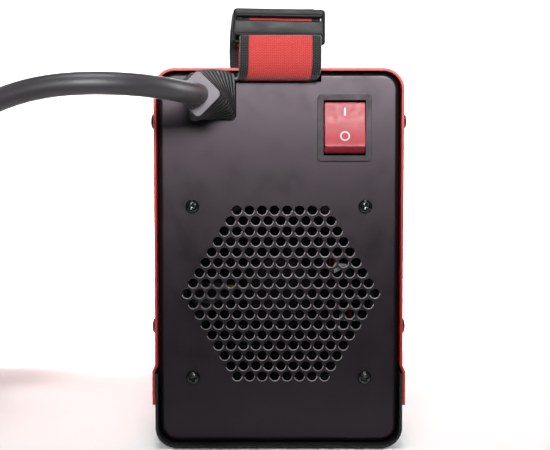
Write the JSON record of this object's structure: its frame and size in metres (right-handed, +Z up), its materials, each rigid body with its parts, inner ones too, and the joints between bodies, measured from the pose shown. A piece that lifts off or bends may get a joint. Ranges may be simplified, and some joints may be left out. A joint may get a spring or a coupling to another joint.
{
  "type": "stick welding inverter",
  "caption": "Portable stick welding inverter: sheet-metal case with webbing handle, rear fan grille, rocker mains switch and lead, front current knob and output sockets.",
  "frame": {"origin": "centre of the tray's flat underside, where the machine stands", "axes": "+Y towards the front panel with the output sockets, so -Y faces the viewer of the rear panel; +X to that viewer's right; +Z up. -Z is the resting face's outward normal."},
  "size_m": [0.3711, 0.3615, 0.2148],
  "materials": {
    "tray_paint": "satin powder coat",
    "cover_paint": "fine textured powder coat",
    "panel_paint": "satin powder coat",
    "black_screw": "black oxide",
    "black_plastic": "fine matt",
    "copper": "bare copper",
    "brass": "machined",
    "steel": "zinc plated",
    "red_rocker": "translucent gloss",
    "tin_plate": "tin plated",
    "black_rubber": "moulded",
    "cord_rubber": "smooth rubber sheath",
    "tie_fabric": "hook and loop band",
    "red_webbing": "coarse woven webbing with black edges",
    "gloss_black": "polished acetal",
    "scale_print": "printed film",
    "knob_black": "fine matt",
    "knob_red": "satin",
    "pot_body": "matt",
    "green_lens": "translucent",
    "amber_lens": "translucent",
    "board_green": "solder mask",
    "fish_paper": "calendered",
    "heatsink_metal": "extruded",
    "chip_black": "moulded epoxy",
    "capacitor_sleeve": "shrink sleeve",
    "ferrite": "sintered",
    "relay_white": "moulded",
    "wire_red": "pvc insulation"
  },
  "bodies": {
    "machine": {"base_tray": "tray_paint", "cover": "cover_paint", "rear_panel": "panel_paint", "front_panel": "panel_paint", "cover_screws": "black_screw", "tray_screws": "black_screw", "fan_frame": "black_plastic", "fan_stator": "copper", "fan_bearing": "brass", "fan_screws": "black_screw", "fan_nuts": "steel", "switch_housing": "black_plastic", "switch_terminals": "tin_plate", "strain_relief": "black_rubber", "mains_cord": "cord_rubber", "mains_cord_coil": "cord_rubber", "cord_tail": "cord_rubber", "cord_tie": "tie_fabric", "mains_plug": "black_rubber", "plug_pins": "tin_plate", "carry_strap": "red_webbing", "strap_buckle_rear": "gloss_black", "strap_buckle_front": "gloss_black", "scale_plate": "scale_print", "potentiometer": "pot_body", "potentiometer_nut": "steel", "power_led": "green_lens", "fault_led": "amber_lens", "socket_insulators": "black_plastic", "output_socket_positive": "brass", "output_socket_negative": "brass", "socket_nuts": "brass", "busbar_positive": "copper", "busbar_negative": "copper", "control_board": "board_green", "control_standoffs": "steel", "main_board": "board_green", "board_standoffs": "steel", "board_screws": "steel", "insulation_sheet": "fish_paper", "heatsink_left": "heatsink_metal", "heatsink_right": "heatsink_metal", "power_transistors": "chip_black", "output_diodes": "chip_black", "bridge_rectifier": "chip_black", "bulk_capacitors": "capacitor_sleeve", "transformer_core": "ferrite", "transformer_windings": "copper", "output_choke": "copper", "filter_choke": "copper", "inrush_relay": "relay_white", "switch_leads": "wire_red", "earth_screw": "brass"},
    "rocker": {"switch_rocker": "red_rocker"},
    "rotor": {"fan_rotor": "black_plastic", "fan_shaft": "steel"},
    "knob": {"control_knob": "knob_black", "knob_cap": "knob_red", "potentiometer_shaft": "steel"}
  },
  "joints": [
    {"name": "power_switch", "type": "hinge", "parent": "machine", "child": "rocker", "pos_m": [0.0312, -0.125, 0.153], "axis": [1, 0, 0], "range_deg": [0, 20]},
    {"name": "fan_spin", "type": "hinge", "parent": "machine", "child": "rotor", "pos_m": [0, -0.115, 0.0744], "axis": [0, 1, 0], "continuous": true},
    {"name": "current_knob", "type": "hinge", "parent": "machine", "child": "knob", "pos_m": [0, 0.13, 0.122], "axis": [0, -1, 0], "range_deg": [0, 280]}
  ]
}
